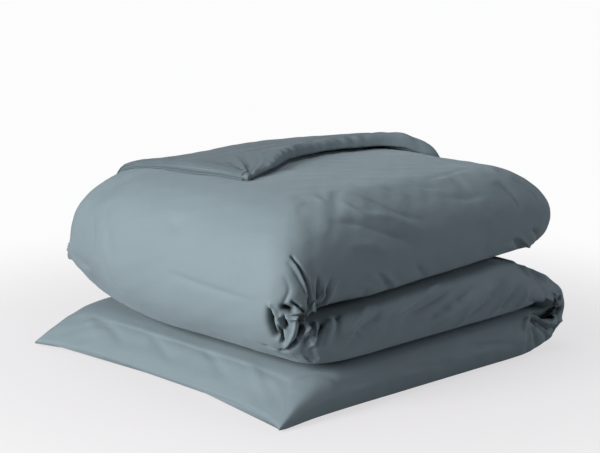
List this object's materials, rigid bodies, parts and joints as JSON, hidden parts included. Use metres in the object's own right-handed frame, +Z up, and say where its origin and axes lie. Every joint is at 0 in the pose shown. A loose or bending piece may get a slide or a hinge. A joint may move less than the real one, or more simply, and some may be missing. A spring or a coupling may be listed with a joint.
{
  "type": "folded duvet",
  "caption": "Duvet in a buttoned cloth cover, folded into a soft stack with the mouth end turned back on top.",
  "frame": {"origin": "centre of the base, on the floor", "axes": "+X along the run, from the open foot edge to the lower fold; +Y along the folds, from the front side to the back; +Z up"},
  "size_m": [0.8, 0.75, 0.4],
  "materials": {
    "cover_cloth": "slate blue-grey woven cotton, matt with a faint sheen",
    "ticking": "white woven cotton, quilted",
    "filling": "white hollow-fibre wadding",
    "button": "dyed to match the cloth, satin gloss",
    "tape": "narrow woven tape",
    "label": "plain white woven label, blank"
  },
  "bodies": {
    "bottom_run": {"cover_bottom": "cover_cloth", "ticking_bottom": "ticking", "filling_bottom": "filling", "tie_foot_front": "tape", "tie_foot_back": "tape", "loop_foot_front": "ticking", "loop_foot_back": "ticking"},
    "middle_run": {"cover_middle": "cover_cloth", "ticking_middle": "ticking", "filling_middle": "filling"},
    "top_run": {"cover_top": "cover_cloth", "ticking_top": "ticking", "filling_top": "filling"},
    "flap": {"cover_flap": "cover_cloth", "ticking_flap": "ticking", "filling_flap": "filling", "hem_upper": "cover_cloth", "hem_lower": "cover_cloth", "tie_mouth_front": "tape", "tie_mouth_back": "tape", "loop_mouth_front": "ticking", "loop_mouth_back": "ticking", "care_label": "label", "button_1": "button", "button_2": "button", "button_3": "button", "button_4": "button", "button_5": "button"}
  },
  "joints": [
    {"name": "lower_fold", "type": "hinge", "parent": "bottom_run", "child": "middle_run", "pos_m": [0.4, 0, 0.08685], "axis": [0, 1, 0], "range_deg": [0, 95]},
    {"name": "upper_fold", "type": "hinge", "parent": "middle_run", "child": "top_run", "pos_m": [-0.395, 0, 0.172], "axis": [0, -1, 0], "range_deg": [0, 140]},
    {"name": "end_turn", "type": "hinge", "parent": "top_run", "child": "flap", "pos_m": [0.312, 0, 0.3691], "axis": [0, 1, 0], "range_deg": [0, 150]}
  ]
}
